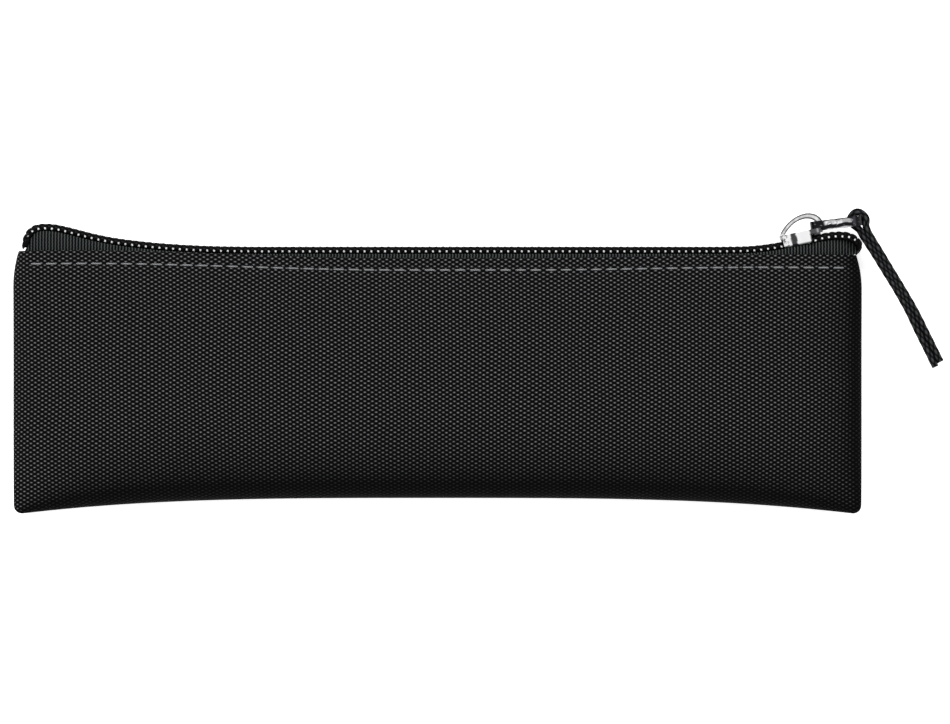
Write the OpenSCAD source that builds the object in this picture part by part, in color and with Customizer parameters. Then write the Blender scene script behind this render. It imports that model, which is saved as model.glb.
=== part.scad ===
// Slim zip pencil pouch, empty and lying on its back.
// X runs along the zip, Y from the bottom seam towards the zip, Z up from the surface it lies on.

/* [Pouch] */
// Length between the side seams
pouch_l = 199; // [160:1:250]
// Height from the middle of the bottom seam to the zip chain
pouch_h = 58; // [48:1:80]
// Thickness over the crown of the front panel
pouch_t = 13.2; // [12.8:0.1:18]
// Thickness of the woven cloth
cloth_t = 0.7; // [0.5:0.05:0.8]
// How far the bottom corners reach past the middle of the bottom seam
corner_drop = 3.9; // [0:0.1:6]
// Radius of the bottom corners
corner_r = 2.2; // [1:0.1:5]
// How far each side draws in towards the zip
top_draw = 1.6; // [0:0.1:3]

/* [Zip] */
// Distance between neighbouring loops of a coil
coil_pitch = 1.6; // [1.5:0.05:1.9]
// Thickness of the coil's wire
wire_t = 0.65; // [0.5:0.05:0.7]
// Height of a coil over its two legs
coil_h = 2; // [1.9:0.05:2.2]
// Width of a coil from the middle of the closed chain to its back bend
coil_w = 2.8; // [2.6:0.05:3]
// How far the heads of a coil reach past the middle of the closed chain
head_reach = 0.5; // [0.4:0.05:0.7]
// Height of the zip's middle plane over the rest surface
zip_z = 6; // [5.9:0.05:6.3]
// Thickness of the woven zip tape
tape_t = 0.5; // [0.4:0.05:0.6]
// Distance from the zip's middle plane to the cloth's folded edge
fold_half = 5.4; // [5.3:0.05:5.5]
// Length of one topstitch
stitch_l = 2.5; // [2:0.1:3]
// Distance between neighbouring topstitches
stitch_pitch = 3.5; // [3.2:0.1:4.5]
// Distance of the topstitch row below the folded edge
stitch_in = 1.9; // [1.5:0.1:3]

/* [Slider and pull] */
// Length of the slider
slider_l = 10.3; // [9.8:0.1:11]
// Width of the slider at its narrow, closed end
slider_narrow = 7.4; // [7.4:0.1:7.8]
// Width of the slider at its wide, open end
slider_wide = 10; // [10:0.1:10.2]
// Thickness of the slider's plates
plate_t = 1; // [0.8:0.05:1.1]
// Thickness of the slider's side flanges
flange_t = 0.7; // [0.5:0.05:0.7]
// Distance of the slider's middle from the chain's closed end
slider_back = 16; // [15.6:0.1:17]
// Thickness of the crown arch
crown_t = 1.1; // [0.8:0.05:1.2]
// Width of the crown arch
crown_w = 2.2; // [1.8:0.1:2.4]
// Length of the pull link
link_l = 12.2; // [11.5:0.1:13]
// Width of the pull link at its cord eye
link_w = 6; // [5.6:0.1:7]
// Thickness of the pull link
link_t = 1.3; // [1:0.05:1.4]
// Diameter of the braided pull cord
cord_d = 1.35; // [1.2:0.05:1.4]

/* [Hidden] */
$fn = 48;

cloth_colour = [0.09, 0.09, 0.1];
tape_colour = [0.16, 0.19, 0.18];
nylon_colour = [0.04, 0.04, 0.045];
thread_colour = [0.5, 0.5, 0.52];
metal_colour = [0.8, 0.8, 0.82];

// Clearances
seam_gap = 0.4;
fit_gap = 0.05;
loose_gap = 0.3;

// Chain headings in degrees against the distance from the left end, then from the right end
left_turns = [
    [0, 94], [1, 86], [2.9, 62], [5.8, 12], [8, -3], [11.4, -13],
    [15.4, -15], [19.4, -13], [25.4, -8], [35.4, -4.5], [49.4, -1.2], [59.4, 0]
];
right_turns = [
    [0, -106], [0.9, -94], [2.6, -68], [4.6, -34], [6.8, -7], [9.4, 5],
    [12, 11.5], [21, 11.5], [26, 7], [32, 1], [39, 0]
];
left_inset = 3.2;
right_inset = 1.1;
chain_step = 0.4;

half_l = pouch_l / 2;
zip_y = pouch_h / 2;
bottom_y = -pouch_h / 2;

function blend_in(x) = let (q = min(1, max(0, x))) q * q * (3 - 2 * q);
function mix(a, b, q) = a + (b - a) * q;

// The run along X and the rise along Y of one table of headings
function run_of(turns) = let (
    steps = [for (s = [chain_step / 2:chain_step:turns[len(turns) - 1][0]]) lookup(s, turns)]
) [for (h = steps) cos(h)] * [for (h = steps) chain_step];
function rise_of(turns) = let (
    steps = [for (s = [chain_step / 2:chain_step:turns[len(turns) - 1][0]]) lookup(s, turns)]
) [for (h = steps) sin(h)] * [for (h = steps) chain_step];

left_len = left_turns[len(left_turns) - 1][0];
right_len = right_turns[len(right_turns) - 1][0];
straight_len = pouch_l - left_inset - right_inset - run_of(left_turns) - run_of(right_turns);
chain_l = left_len + straight_len + right_len;

function heading(s) =
    s < left_len ? lookup(s, left_turns) :
    s > chain_l - right_len ? lookup(chain_l - s, right_turns) : 0;

// The chain's middle line, by summing short steps along the heading
chain_path = [
    for (
        s = 0, x = left_inset - half_l, y = zip_y - rise_of(left_turns);
        s <= chain_l + chain_step;
        x = x + chain_step * cos(heading(s + chain_step / 2)),
        y = y + chain_step * sin(heading(s + chain_step / 2)),
        s = s + chain_step
    ) [s, x, y]
];
chain_x = [for (p = chain_path) [p[0], p[1]]];
chain_y = [for (p = chain_path) [p[0], p[2]]];

// A point beside the chain: s along it, out square to it, w across it from its middle plane
function beside_chain(s, out, w) = let (h = heading(s)) [
    lookup(s, chain_x) - out * sin(h),
    lookup(s, chain_y) + out * cos(h),
    w
];

// Past the slider each coil stands away from the middle, and comes back at the end
slider_s = chain_l - slider_back;
spread_max = 1.5;
spread_from = 1;
spread_run = 4;
function spread(s) =
    spread_max * blend_in((s - slider_s + spread_from) / spread_run) * blend_in((chain_l - s) / 7);

// A closed tube through rings of points that all have the same count
module tube(rings) {
    m = len(rings[0]);
    n = len(rings);
    polyhedron(
        points = [for (r = rings) each r],
        faces = [
            [for (j = [m - 1:-1:0]) j],
            for (i = [0:n - 2], j = [0:m - 1]) let (
                k = (j + 1) % m, a = i * m + j, b = i * m + k
            ) each [[a, b, b + m], [a, b + m, a + m]],
            [for (j = [0:m - 1]) (n - 1) * m + j]
        ]
    );
}

// A closed shell between two grids of points
module shell(outer, inner) {
    m = len(outer[0]);
    n = len(outer);
    low = n * m;
    edge = [
        each [for (j = [0:m - 2]) j],
        each [for (i = [0:n - 2]) i * m + m - 1],
        each [for (j = [m - 1:-1:1]) (n - 1) * m + j],
        each [for (i = [n - 1:-1:1]) i * m]
    ];
    polyhedron(
        points = [for (r = outer) each r, for (r = inner) each r],
        faces = [
            for (i = [0:n - 2], j = [0:m - 2]) let (a = i * m + j) each [
                [a, a + 1, a + m + 1],
                [a, a + m + 1, a + m],
                [low + a, low + a + m + 1, low + a + 1],
                [low + a, low + a + m, low + a + m + 1]
            ],
            for (i = [0:len(edge) - 1]) let (
                a = edge[i], b = edge[(i + 1) % len(edge)]
            ) each [[b, a, low + a], [b, low + a, low + b]]
        ]
    );
}

// Grid lines crowd towards the seams, where the cloth curves most
panel_cols = 34;
panel_rows = 12;
edge_crowd = 0.42;
function col_u(i) = let (a = 2 * i / panel_cols - 1) (a * (1 + edge_crowd * (1 - a * a)) + 1) / 2;
function row_t(j) = pow(j / panel_rows, 1.7);
droop_t = row_t(5);
rise_t = row_t(panel_rows - 1);

// Outline of a panel, drawn in at the sides above draw_y
fold_drop = 1.1;
fold_rise_left = 1.1;
fold_rise_right = 0.4;
draw_y = mix(bottom_y, zip_y - fold_drop, rise_t);
function side_x(y) = half_l - top_draw * pow(max(0, y - draw_y) / (zip_y - draw_y), 2);
function seam_y(x) = let (
    a = min(1, abs(x) / half_l),
    c = min(1, max(0, (abs(x) - half_l + corner_r) / corner_r))
) bottom_y - corner_drop * pow(a, 3.2) + corner_r * (1 - sqrt(1 - c * c));
function fold_y(x) = zip_y - fold_drop
    + fold_rise_left * blend_in(-x / half_l * 2 - 0.9)
    + fold_rise_right * blend_in(x / half_l * 2 - 0.9);

// How full the pouch is across its length: 0 at the seams, 1 over the middle
function fullness(u) = sqrt(max(0, 1 - pow(abs(2 * u - 1), 6)));
function fold_fullness(u) = sqrt(max(0, 1 - pow(abs(2 * u - 1), 16)));
seam_low = 4.3;
crest_t = 0.5;
end_fold = 0.7;
function seam_z(t) = mix(seam_low, zip_z, t);
function fold_w(u) = end_fold + (fold_half - end_fold) * fold_fullness(u);

// Height of the front panel, u along X and t from the bottom seam to the fold, in from its outer face
function front_z(u, t, in) = let (
    low = seam_z(0) + seam_gap / 2,
    side = seam_z(crest_t) + seam_gap / 2,
    crest = mix(side, pouch_t - in, fullness(u)),
    top = zip_z + fold_w(u) - in * fold_fullness(u)
) t < crest_t
    ? mix(low, crest, sqrt(1 - pow(1 - t / crest_t, 2.6)))
    : mix(crest, top, pow((t - crest_t) / (1 - crest_t), 2.2));

// Height of the back panel, which lies flat on the surface over its middle
flat_t = 0.35;
flat_share = 1.12;
flat_start = 1.06;
flat_edge = 0.8;
function back_z(u, t, in) = let (
    low = seam_z(0) - seam_gap / 2,
    side = seam_z(flat_t) - seam_gap / 2,
    base = side * pow(max(0, 1 - flat_share * fullness(u)), flat_edge) + in * fullness(u),
    top = zip_z - fold_w(u) + in * fold_fullness(u)
) t < flat_t
    ? mix(low, base, min(1, flat_start * sqrt(1 - pow(1 - t / flat_t, 2.6))))
    : mix(base, top, max(0, t - rise_t) / (1 - rise_t));

// Rows run straight between droop_t and rise_t, so the back stands on a flat base
function panel_xy(u, t, in) = let (
    level_y = mix(bottom_y, zip_y - fold_drop, t),
    x = (2 * u - 1) * (side_x(level_y) - in),
    droop = seam_y((2 * u - 1) * half_l) + in - bottom_y,
    lift = fold_y(x) - zip_y + fold_drop
) [x, level_y + droop * max(0, 1 - t / droop_t) + lift * max(0, t - rise_t) / (1 - rise_t)];
function front_at(u, t, in) = [each panel_xy(u, t, in), front_z(u, t, in)];
function back_at(u, t, in) = [each panel_xy(u, t, in), back_z(u, t, in)];

module front_panel() {
    color(cloth_colour) shell(
        [for (i = [0:panel_cols]) [for (j = [0:panel_rows]) front_at(col_u(i), row_t(j), 0)]],
        [for (i = [0:panel_cols]) [for (j = [0:panel_rows]) front_at(col_u(i), row_t(j), cloth_t)]]
    );
}

module back_panel() {
    color(cloth_colour) shell(
        [for (i = [panel_cols:-1:0]) [for (j = [0:panel_rows]) back_at(col_u(i), row_t(j), 0)]],
        [for (i = [panel_cols:-1:0]) [for (j = [0:panel_rows]) back_at(col_u(i), row_t(j), cloth_t)]]
    );
}

// A folded binding round the seam allowances, just inside a side seam
binding_w = 3.2;
binding_t = 1.1;
binding_gap = 0.78;
binding_steps = 10;
module seam_binding(side) {
    t_low = 0.12;
    t_high = 0.86;
    color(tape_colour) tube([
        for (k = [0:binding_steps]) let (
            t = mix(t_low, t_high, k / binding_steps),
            p = panel_xy(0.5 + side / 2, t, cloth_t + binding_gap),
            z = seam_z(t),
            x = p[0] - side * binding_w
        ) [
            [p[0], p[1], z + side * binding_t / 2],
            [x, p[1], z + side * binding_t / 2],
            [x, p[1], z - side * binding_t / 2],
            [p[0], p[1], z - side * binding_t / 2]
        ]
    ]);
}
module left_seam_binding() seam_binding(-1);
module right_seam_binding() seam_binding(1);

// One tape, drawn for the front: under the coil, out to its bend, down to the fold and inside the cloth
tape_steps = 56;
tape_end_trim = 1.2;
tape_in_t = 0.9;
tape_clear = 0.12;
end_clear = 0.5;
tape_least_w = 1;
function tape_u(s, end) = let (
    raw = (lookup(s, chain_x) / side_x(zip_y) + 1) / 2
) raw + end * pow(1 - 2 * raw, 9);
function tape_ring(s, front) = let (
    u = tape_u(s, 0.03),
    top = -coil_h / 2 - fit_gap,
    hem = cloth_t + mix(end_clear, tape_clear, fold_fullness(u)),
    bend_w = max(tape_least_w, fold_w(tape_u(s, 0.002)) - hem),
    fold = front ? front_at(u, 0.985, hem) : back_at(u, 0.985, hem),
    fold_in = front ? front_at(u, 0.975, hem + tape_t) : back_at(u, 0.975, hem + tape_t),
    deep = front ? front_at(u, tape_in_t, hem) : back_at(u, tape_in_t, hem),
    deep_in = front ? front_at(u, tape_in_t, hem + tape_t) : back_at(u, tape_in_t, hem + tape_t),
    sign = front ? 1 : -1,
    ring = [
        beside_chain(s, top, zip_z + sign * (head_reach + spread(s))),
        beside_chain(s, top, zip_z + sign * bend_w),
        fold, deep, deep_in, fold_in,
        beside_chain(s, top - tape_t, zip_z + sign * (bend_w - tape_t)),
        beside_chain(s, top - tape_t, zip_z + sign * (head_reach + spread(s)))
    ]
) front ? [for (i = [7:-1:0]) ring[i]] : ring;
module zip_tape(front) {
    color(tape_colour) tube([
        for (k = [0:tape_steps]) tape_ring(
            mix(tape_end_trim, chain_l - tape_end_trim, k / tape_steps), front
        )
    ]);
}
module back_zip_tape() zip_tape(false);
module front_zip_tape() zip_tape(true);

// One coil is a single wire wound into flat loops: two legs across, a head, and a back bend to the next
coil_loops = floor((chain_l - 2 * coil_pitch) / coil_pitch);
coil_start = (chain_l - coil_loops * coil_pitch) / 2;
function coil_ring(s, head, high) = let (
    far = spread(s),
    w_out = head ? far - head_reach : far + coil_w,
    w_in = head ? w_out + wire_t : w_out - wire_t,
    v_out = (high ? 1 : -1) * coil_h / 2,
    v_in = (high ? 1 : -1) * (coil_h / 2 - wire_t)
) [
    beside_chain(s - wire_t / 2, v_out, w_out),
    beside_chain(s + wire_t / 2, v_out, w_out),
    beside_chain(s + wire_t / 2, v_in, w_in),
    beside_chain(s - wire_t / 2, v_in, w_in)
];
module zip_coil(phase) {
    color(nylon_colour) tube([
        for (k = [0:coil_loops - 1]) let (s = coil_start + (k + phase) * coil_pitch) each [
            coil_ring(s, false, false),
            coil_ring(s, true, false),
            coil_ring(s, true, true),
            coil_ring(s, false, true)
        ]
    ]);
}
echo(least_gap_between_loops = coil_pitch - wire_t);
module front_zip_coil() translate([0, 0, zip_z]) zip_coil(0);
module back_zip_coil() translate([0, 0, zip_z]) mirror([0, 0, 1]) zip_coil(0.5);

// The filler cord that a coil is wound on and sewn through
core_steps = 120;
core_gap = 0.12;
module coil_core() {
    near = head_reach + core_gap;
    far = coil_w - wire_t - core_gap;
    high = coil_h / 2 - wire_t - core_gap;
    color(nylon_colour) tube([
        for (k = [0:core_steps]) let (
            s = mix(coil_start, chain_l - coil_start, k / core_steps), w = spread(s)
        ) [
            beside_chain(s, high, w + far),
            beside_chain(s, high, w + near),
            beside_chain(s, -high, w + near),
            beside_chain(s, -high, w + far)
        ]
    ]);
}
module front_coil_core() translate([0, 0, zip_z]) coil_core();
module back_coil_core() translate([0, 0, zip_z]) mirror([0, 0, 1]) coil_core();

// A row of topstitches through the cloth and the tape
stitch_w = 0.35;
stitch_t = 0.25;
stitch_lift = 0.2;
stitch_end = 4;
stitches = floor((pouch_l - 2 * stitch_end) / stitch_pitch);
module topstitch(front) {
    color(thread_colour) for (k = [0:stitches - 1]) {
        x = (k + 0.5 - stitches / 2) * stitch_pitch;
        u = (x / side_x(zip_y) + 1) / 2;
        du = stitch_l / 2 / pouch_l;
        t = 1 - stitch_in / pouch_h;
        a = front ? front_at(u - du, t, -stitch_lift) : back_at(u - du, t, -stitch_lift);
        b = front ? front_at(u + du, t, -stitch_lift) : back_at(u + du, t, -stitch_lift);
        along = b - a;
        translate((a + b) / 2)
            rotate([0, -atan2(along[2], along[0]), atan2(along[1], along[0])])
                cube([stitch_l, stitch_w, stitch_t], center = true);
    }
}
module back_topstitch() topstitch(false);
module front_topstitch() topstitch(true);

// Places something in the slider's own frame: x along the chain, y out of the pouch, z across
slider_turn = heading(slider_s);
module at_slider() {
    translate(beside_chain(slider_s, 0, zip_z)) rotate([0, 0, slider_turn]) children();
}

// Lays a flat outline, drawn as length and width, on its face between two heights
module plate(low, high) {
    translate([0, low, 0]) rotate([-90, 0, 0]) linear_extrude(high - low) children();
}

// Outline of the slider, narrow at the closed end and wide at the open end
function slider_half(x, in) = let (
    a = abs(x) / (slider_l / 2 - in),
    body = mix(slider_narrow, slider_wide, blend_in((x + 1.5) / 3.5)) / 2 - in
) body * pow(max(0, 1 - pow(a, 7)), 0.3);
module slider_outline(in) {
    steps = 20;
    reach = slider_l / 2 - in;
    edge = [for (k = [0:steps]) -reach * cos(180 * k / steps)];
    polygon([
        for (x = edge) [x, slider_half(x, in)],
        for (k = [steps - 1:-1:1]) [edge[k], -slider_half(edge[k], in)]
    ]);
}

plate_low = coil_h / 2 + 0.2;
plate_high = plate_low + plate_t;
flange_low = -0.8;
flange_end = 2;
base_high = -coil_h / 2 - tape_t - 0.4;
base_low = base_high - plate_t;
base_in = 1.5;
wedge_l = 3.1;
wedge_in = 0.55;
post_half = 0.8;
crown_in = 0.15;
crown_r = slider_l / 2 - crown_in;
crown_x = 0.35;
crown_rise = 3.4;
crown_y = plate_high + crown_rise - crown_r;
crown_foot = asin((plate_high - crown_y) / crown_r) - 3;

module slider() {
    color(metal_colour) at_slider() {
        plate(plate_low, plate_high) slider_outline(0);
        plate(base_low, base_high) slider_outline(base_in);
        // Side flanges that hold the coils together
        plate(flange_low, plate_low + fit_gap) intersection() {
            difference() {
                slider_outline(0);
                polygon([
                    for (x = [-slider_l:0.5:slider_l]) [x, slider_channel(x)],
                    for (x = [slider_l:-0.5:-slider_l]) [x, -slider_channel(x)]
                ]);
            }
            translate([-slider_l, -slider_l]) square([slider_l + flange_end, 2 * slider_l]);
        }
        // The wedge that parts the coils
        plate(base_high - fit_gap, plate_low + fit_gap)
            translate([slider_l / 2 - wedge_in, 0]) polygon([
                [-wedge_l, 0], [-wedge_l / 2, post_half], [-wedge_l / 8, post_half * 0.8], [0, 0],
                [-wedge_l / 8, -post_half * 0.8], [-wedge_l / 2, -post_half]
            ]);
        // The crown arch that the pull link rides on
        translate([crown_x, crown_y, -crown_w / 2])
            rotate([0, 0, crown_foot])
                rotate_extrude(angle = 180 - 2 * crown_foot)
                    translate([crown_r - crown_t / 2, 0]) square([crown_t, crown_w]);
    }
}
function slider_channel(x) =
    mix(slider_narrow, slider_wide, blend_in((x + 1.5) / 3.5)) / 2 - flange_t;

// The pull link lies along the chain, its eye round the crown
link_at = 27;
link_turn = -4.5;
link_eye = 2.9;
link_eye_w = crown_w + 2 * loose_gap;
link_tip = link_eye / 2 + 0.85;
link_bar = 1.1;
cord_eye = 3.4;
cord_eye_w = 3.6;
link_tip_w = 4.6;
module at_link() {
    at_slider() translate([
        crown_x + crown_r * cos(link_at), crown_y + crown_r * sin(link_at), 0
    ]) rotate([0, 0, link_turn]) children();
}
module pull_link() {
    far = link_l - link_tip;
    r1 = link_tip_w / 2;
    r2 = link_w / 2;
    color(metal_colour) at_link() plate(-link_t / 2, link_t / 2) difference() {
        hull() {
            translate([r1 - link_tip, 0]) intersection() {
                circle(r1);
                square([2 * r1, link_tip_w], center = true);
            }
            translate([far - r2, 0]) circle(r2);
        }
        square([link_eye, link_eye_w], center = true);
        translate([far - link_bar - cord_eye, -cord_eye_w / 2]) square([cord_eye, cord_eye_w]);
    }
}

// The pull cord's middle line from one cut end, round the link's outer bar, to the other cut end,
// measured from the middle of that bar
cord_route = [
    [18.6, -33.4, -5.3], [17.4, -30.2, -5.3], [15.2, -25.4, -5.0], [12.6, -20.6, -4.3],
    [9.9, -15.8, -3.3], [7.3, -11.2, -2.1], [5.0, -7.2, -1.0], [3.4, -3.9, -0.3],
    [2.4, -1.6, 0], [1.9, 0, 0], [1.65, 0.95, 0], [0.95, 1.65, 0], [0, 1.9, 0],
    [-0.95, 1.65, 0], [-1.65, 0.95, 0], [-1.9, 0, 0], [-1.65, -0.95, 0], [-0.9, -2.1, 0],
    [0.2, -3.6, -0.2], [1.7, -5.6, -0.6], [3.5, -8.2, -1.2], [5.9, -12.0, -2.2],
    [8.6, -16.5, -3.3], [11.3, -21.3, -4.3], [13.9, -26.1, -5.0], [16.1, -30.9, -5.3],
    [17.3, -34.1, -5.3]
];
cord_sides = 8;
function unit(v) = v / norm(v);
function cord_ring(i) = let (
    n = len(cord_route) - 1,
    along = unit(cord_route[min(n, i + 1)] - cord_route[max(0, i - 1)]),
    across = unit(cross(along, [0, 0, 1])),
    up = cross(across, along)
) [
    for (k = [0:cord_sides - 1]) let (a = 360 * k / cord_sides + 22.5)
        cord_route[i] + cord_d / 2 * (cos(a) * across + sin(a) * up)
];
module pull_cord() {
    color(cloth_colour)
        at_link() translate([link_l - link_tip - link_bar / 2, 0, 0])
            rotate([0, 0, -slider_turn - link_turn])
                tube([for (i = [0:len(cord_route) - 1]) cord_ring(i)]);
}

back_panel();
front_panel();
left_seam_binding();
right_seam_binding();
back_zip_tape();
front_zip_tape();
back_zip_coil();
front_zip_coil();
back_coil_core();
front_coil_core();
back_topstitch();
front_topstitch();
slider();
pull_link();
pull_cord();
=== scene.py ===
"""The looks of a slim zip pencil pouch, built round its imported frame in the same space, in metres."""
import math

import bmesh
import bpy
import numpy as np
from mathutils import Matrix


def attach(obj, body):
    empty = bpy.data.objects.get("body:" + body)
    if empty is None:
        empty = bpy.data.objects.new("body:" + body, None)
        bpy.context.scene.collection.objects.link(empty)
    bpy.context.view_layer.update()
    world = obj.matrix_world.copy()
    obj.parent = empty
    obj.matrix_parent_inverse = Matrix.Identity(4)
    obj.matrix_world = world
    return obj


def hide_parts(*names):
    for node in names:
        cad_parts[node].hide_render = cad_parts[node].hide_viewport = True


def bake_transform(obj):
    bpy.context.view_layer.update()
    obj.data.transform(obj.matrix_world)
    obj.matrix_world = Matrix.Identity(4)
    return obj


bl_info = {
    "name": "Zip pencil pouch",
    "version": (1, 0, 0),
    "blender": (4, 5, 0),
    "location": "3D View > Sidebar > Pouch",
    "description": "Builds a slim woven zip pouch with a coil zip, a metal slider and a braided pull",
    "category": "Add Mesh",
}

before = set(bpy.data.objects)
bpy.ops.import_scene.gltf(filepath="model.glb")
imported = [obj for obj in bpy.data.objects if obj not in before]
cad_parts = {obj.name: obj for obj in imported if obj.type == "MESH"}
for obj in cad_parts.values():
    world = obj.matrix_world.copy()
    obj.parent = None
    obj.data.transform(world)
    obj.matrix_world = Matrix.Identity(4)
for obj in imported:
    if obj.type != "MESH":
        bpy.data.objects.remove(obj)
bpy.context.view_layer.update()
MM = 0.001

# Sizes in millimetres, as in the part's source
POUCH_L = 199.0
POUCH_H = 58.0
POUCH_T = 13.2
CLOTH_T = 0.7
CORNER_DROP = 3.9
CORNER_R = 2.2
TOP_DRAW = 1.6
COIL_PITCH = 1.6
WIRE_T = 0.65
COIL_H = 2.0
COIL_W = 2.8
HEAD_REACH = 0.5
ZIP_Z = 6.0
TAPE_T = 0.5
FOLD_HALF = 5.4
STITCH_L = 2.5
STITCH_PITCH = 3.5
STITCH_IN = 2.6
SLIDER_BACK = 16.0
HALF_L = POUCH_L / 2
ZIP_Y = POUCH_H / 2
BOTTOM_Y = -POUCH_H / 2

# Chain headings in degrees against the distance from the left end, then from the right end
LEFT_TURNS = np.array([
    (0, 94), (1, 86), (2.9, 62), (5.8, 12), (8, -3), (11.4, -13),
    (15.4, -15), (19.4, -13), (25.4, -8), (35.4, -4.5), (49.4, -1.2), (59.4, 0),
], float)
RIGHT_TURNS = np.array([
    (0, -106), (0.9, -94), (2.6, -68), (4.6, -34), (6.8, -7), (9.4, 5),
    (12, 11.5), (21, 11.5), (26, 7), (32, 1), (39, 0),
], float)
LEFT_INSET = 3.2
RIGHT_INSET = 1.1
CHAIN_STEP = 0.4


def smooth(x):
    """A step from 0 to 1 that starts and ends level: 3q^2 - 2q^3 on the clipped value."""
    q = np.clip(x, 0, 1)
    return q * q * (3 - 2 * q)


def mix(a, b, q):
    """Goes from a to b as q goes from 0 to 1."""
    return a + (b - a) * q


def turn_sums(turns):
    """The run and the rise of one table of headings, by summing short steps."""
    s = np.arange(CHAIN_STEP / 2, turns[-1, 0], CHAIN_STEP)
    h = np.radians(np.interp(s, turns[:, 0], turns[:, 1]))
    return np.cos(h).sum() * CHAIN_STEP, np.sin(h).sum() * CHAIN_STEP


LEFT_RUN, LEFT_RISE = turn_sums(LEFT_TURNS)
RIGHT_RUN = turn_sums(RIGHT_TURNS)[0]
LEFT_LEN = LEFT_TURNS[-1, 0]
RIGHT_LEN = RIGHT_TURNS[-1, 0]
CHAIN_L = LEFT_LEN + RIGHT_LEN + POUCH_L - LEFT_INSET - RIGHT_INSET - LEFT_RUN - RIGHT_RUN
SLIDER_S = CHAIN_L - SLIDER_BACK


def heading(s):
    """The chain's heading in degrees at the distance s from its left end."""
    left = np.interp(s, LEFT_TURNS[:, 0], LEFT_TURNS[:, 1])
    right = np.interp(CHAIN_L - s, RIGHT_TURNS[:, 0], RIGHT_TURNS[:, 1])
    return np.where(s < LEFT_LEN, left, np.where(s > CHAIN_L - RIGHT_LEN, right, 0.0))


def chain_line():
    """The chain's middle line: distance, x and y, by summing short steps along the heading."""
    s = np.arange(0, CHAIN_L + 2 * CHAIN_STEP, CHAIN_STEP)
    h = np.radians(heading(s + CHAIN_STEP / 2))
    x = LEFT_INSET - HALF_L + np.concatenate(([0], np.cumsum(np.cos(h) * CHAIN_STEP)[:-1]))
    y = ZIP_Y - LEFT_RISE + np.concatenate(([0], np.cumsum(np.sin(h) * CHAIN_STEP)[:-1]))
    return s, x, y


CHAIN_S, CHAIN_X, CHAIN_Y = chain_line()


def beside_chain(s, out, w):
    """A point beside the chain: out square to it in its plane, w across that plane."""
    h = np.radians(heading(s))
    x = np.interp(s, CHAIN_S, CHAIN_X) - out * np.sin(h)
    y = np.interp(s, CHAIN_S, CHAIN_Y) + out * np.cos(h)
    return np.stack(np.broadcast_arrays(x, y, ZIP_Z + w), axis=-1)


def spread(s):
    """How far each coil stands away from the middle past the slider."""
    return 1.5 * smooth((s - SLIDER_S + 1) / 4) * smooth((CHAIN_L - s) / 7)


# Outline and height of a panel: u runs along X and t from the bottom seam to the fold, both 0 to 1
SEAM_GAP = 0.4
SEAM_LOW = 4.3
CREST_T = 0.5
END_FOLD = 0.7
FLAT_T = 0.35
FLAT_SHARE = 1.12
FLAT_START = 1.06
FLAT_EDGE = 0.8
RISE_T = (11 / 12) ** 1.7
FOLD_DROP = 1.1
EDGE_DROP = 2.1
EDGE_RISE_LEFT = 1.7
EDGE_RISE_RIGHT = 0.75
DRAW_Y = mix(BOTTOM_Y, ZIP_Y - FOLD_DROP, RISE_T)


def side_x(y):
    """Half the pouch's length at the height y."""
    return HALF_L - TOP_DRAW * (np.maximum(0, y - DRAW_Y) / (ZIP_Y - DRAW_Y)) ** 2


def seam_y(x):
    """Height of the bottom seam: level in the middle, dropping as a power towards rounded corners."""
    a = np.minimum(1, np.abs(x) / HALF_L)
    c = np.clip((np.abs(x) - HALF_L + CORNER_R) / CORNER_R, 0, 1)
    return BOTTOM_Y - CORNER_DROP * a ** 3.2 + CORNER_R * (1 - np.sqrt(1 - c * c))


def fold_y(x):
    """Height of the folded edge below the chain, higher towards both ends."""
    return (
        ZIP_Y - EDGE_DROP
        + EDGE_RISE_LEFT * smooth((-x - 9) / 75)
        + EDGE_RISE_RIGHT * smooth((x - 20) / 60)
    )


def fullness(u):
    """How full the pouch is across its length: 0 at the side seams, 1 over the middle."""
    return np.sqrt(np.maximum(0, 1 - np.abs(2 * u - 1) ** 6))


def fold_fullness(u):
    """The same for the folded edge, which stays full almost to its ends."""
    return np.sqrt(np.maximum(0, 1 - np.abs(2 * u - 1) ** 16))


def seam_z(t):
    """Height of the side seams, rising towards the zip."""
    return mix(SEAM_LOW, ZIP_Z, t)


def fold_w(u):
    """Distance of the folded edge from the zip's middle plane."""
    return END_FOLD + (FOLD_HALF - END_FOLD) * fold_fullness(u)


def front_z(u, t, inside):
    """Height of the front panel: a rounded rise from the bottom seam to a crest, then down to the fold."""
    low = seam_z(0) + SEAM_GAP / 2
    side = seam_z(CREST_T) + SEAM_GAP / 2
    crest = mix(side, POUCH_T - inside, fullness(u))
    top = ZIP_Z + fold_w(u) - inside * fold_fullness(u)
    rise = np.sqrt(1 - np.clip(1 - t / CREST_T, 0, 1) ** 2.6)
    fall = np.clip((t - CREST_T) / (1 - CREST_T), 0, 1) ** 2.2
    return np.where(t < CREST_T, mix(low, crest, rise), mix(crest, top, fall))


def back_z(u, t, inside):
    """Height of the back panel, which lies flat over its middle."""
    low = seam_z(0) - SEAM_GAP / 2
    side = seam_z(FLAT_T) - SEAM_GAP / 2
    base = side * np.maximum(0, 1 - FLAT_SHARE * fullness(u)) ** FLAT_EDGE + inside * fullness(u)
    top = ZIP_Z - fold_w(u) + inside * fold_fullness(u)
    fall = np.minimum(1, FLAT_START * np.sqrt(1 - np.clip(1 - t / FLAT_T, 0, 1) ** 2.6))
    rise = np.maximum(0, t - RISE_T) / (1 - RISE_T)
    return np.where(t < FLAT_T, mix(low, base, fall), mix(base, top, rise))


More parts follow.
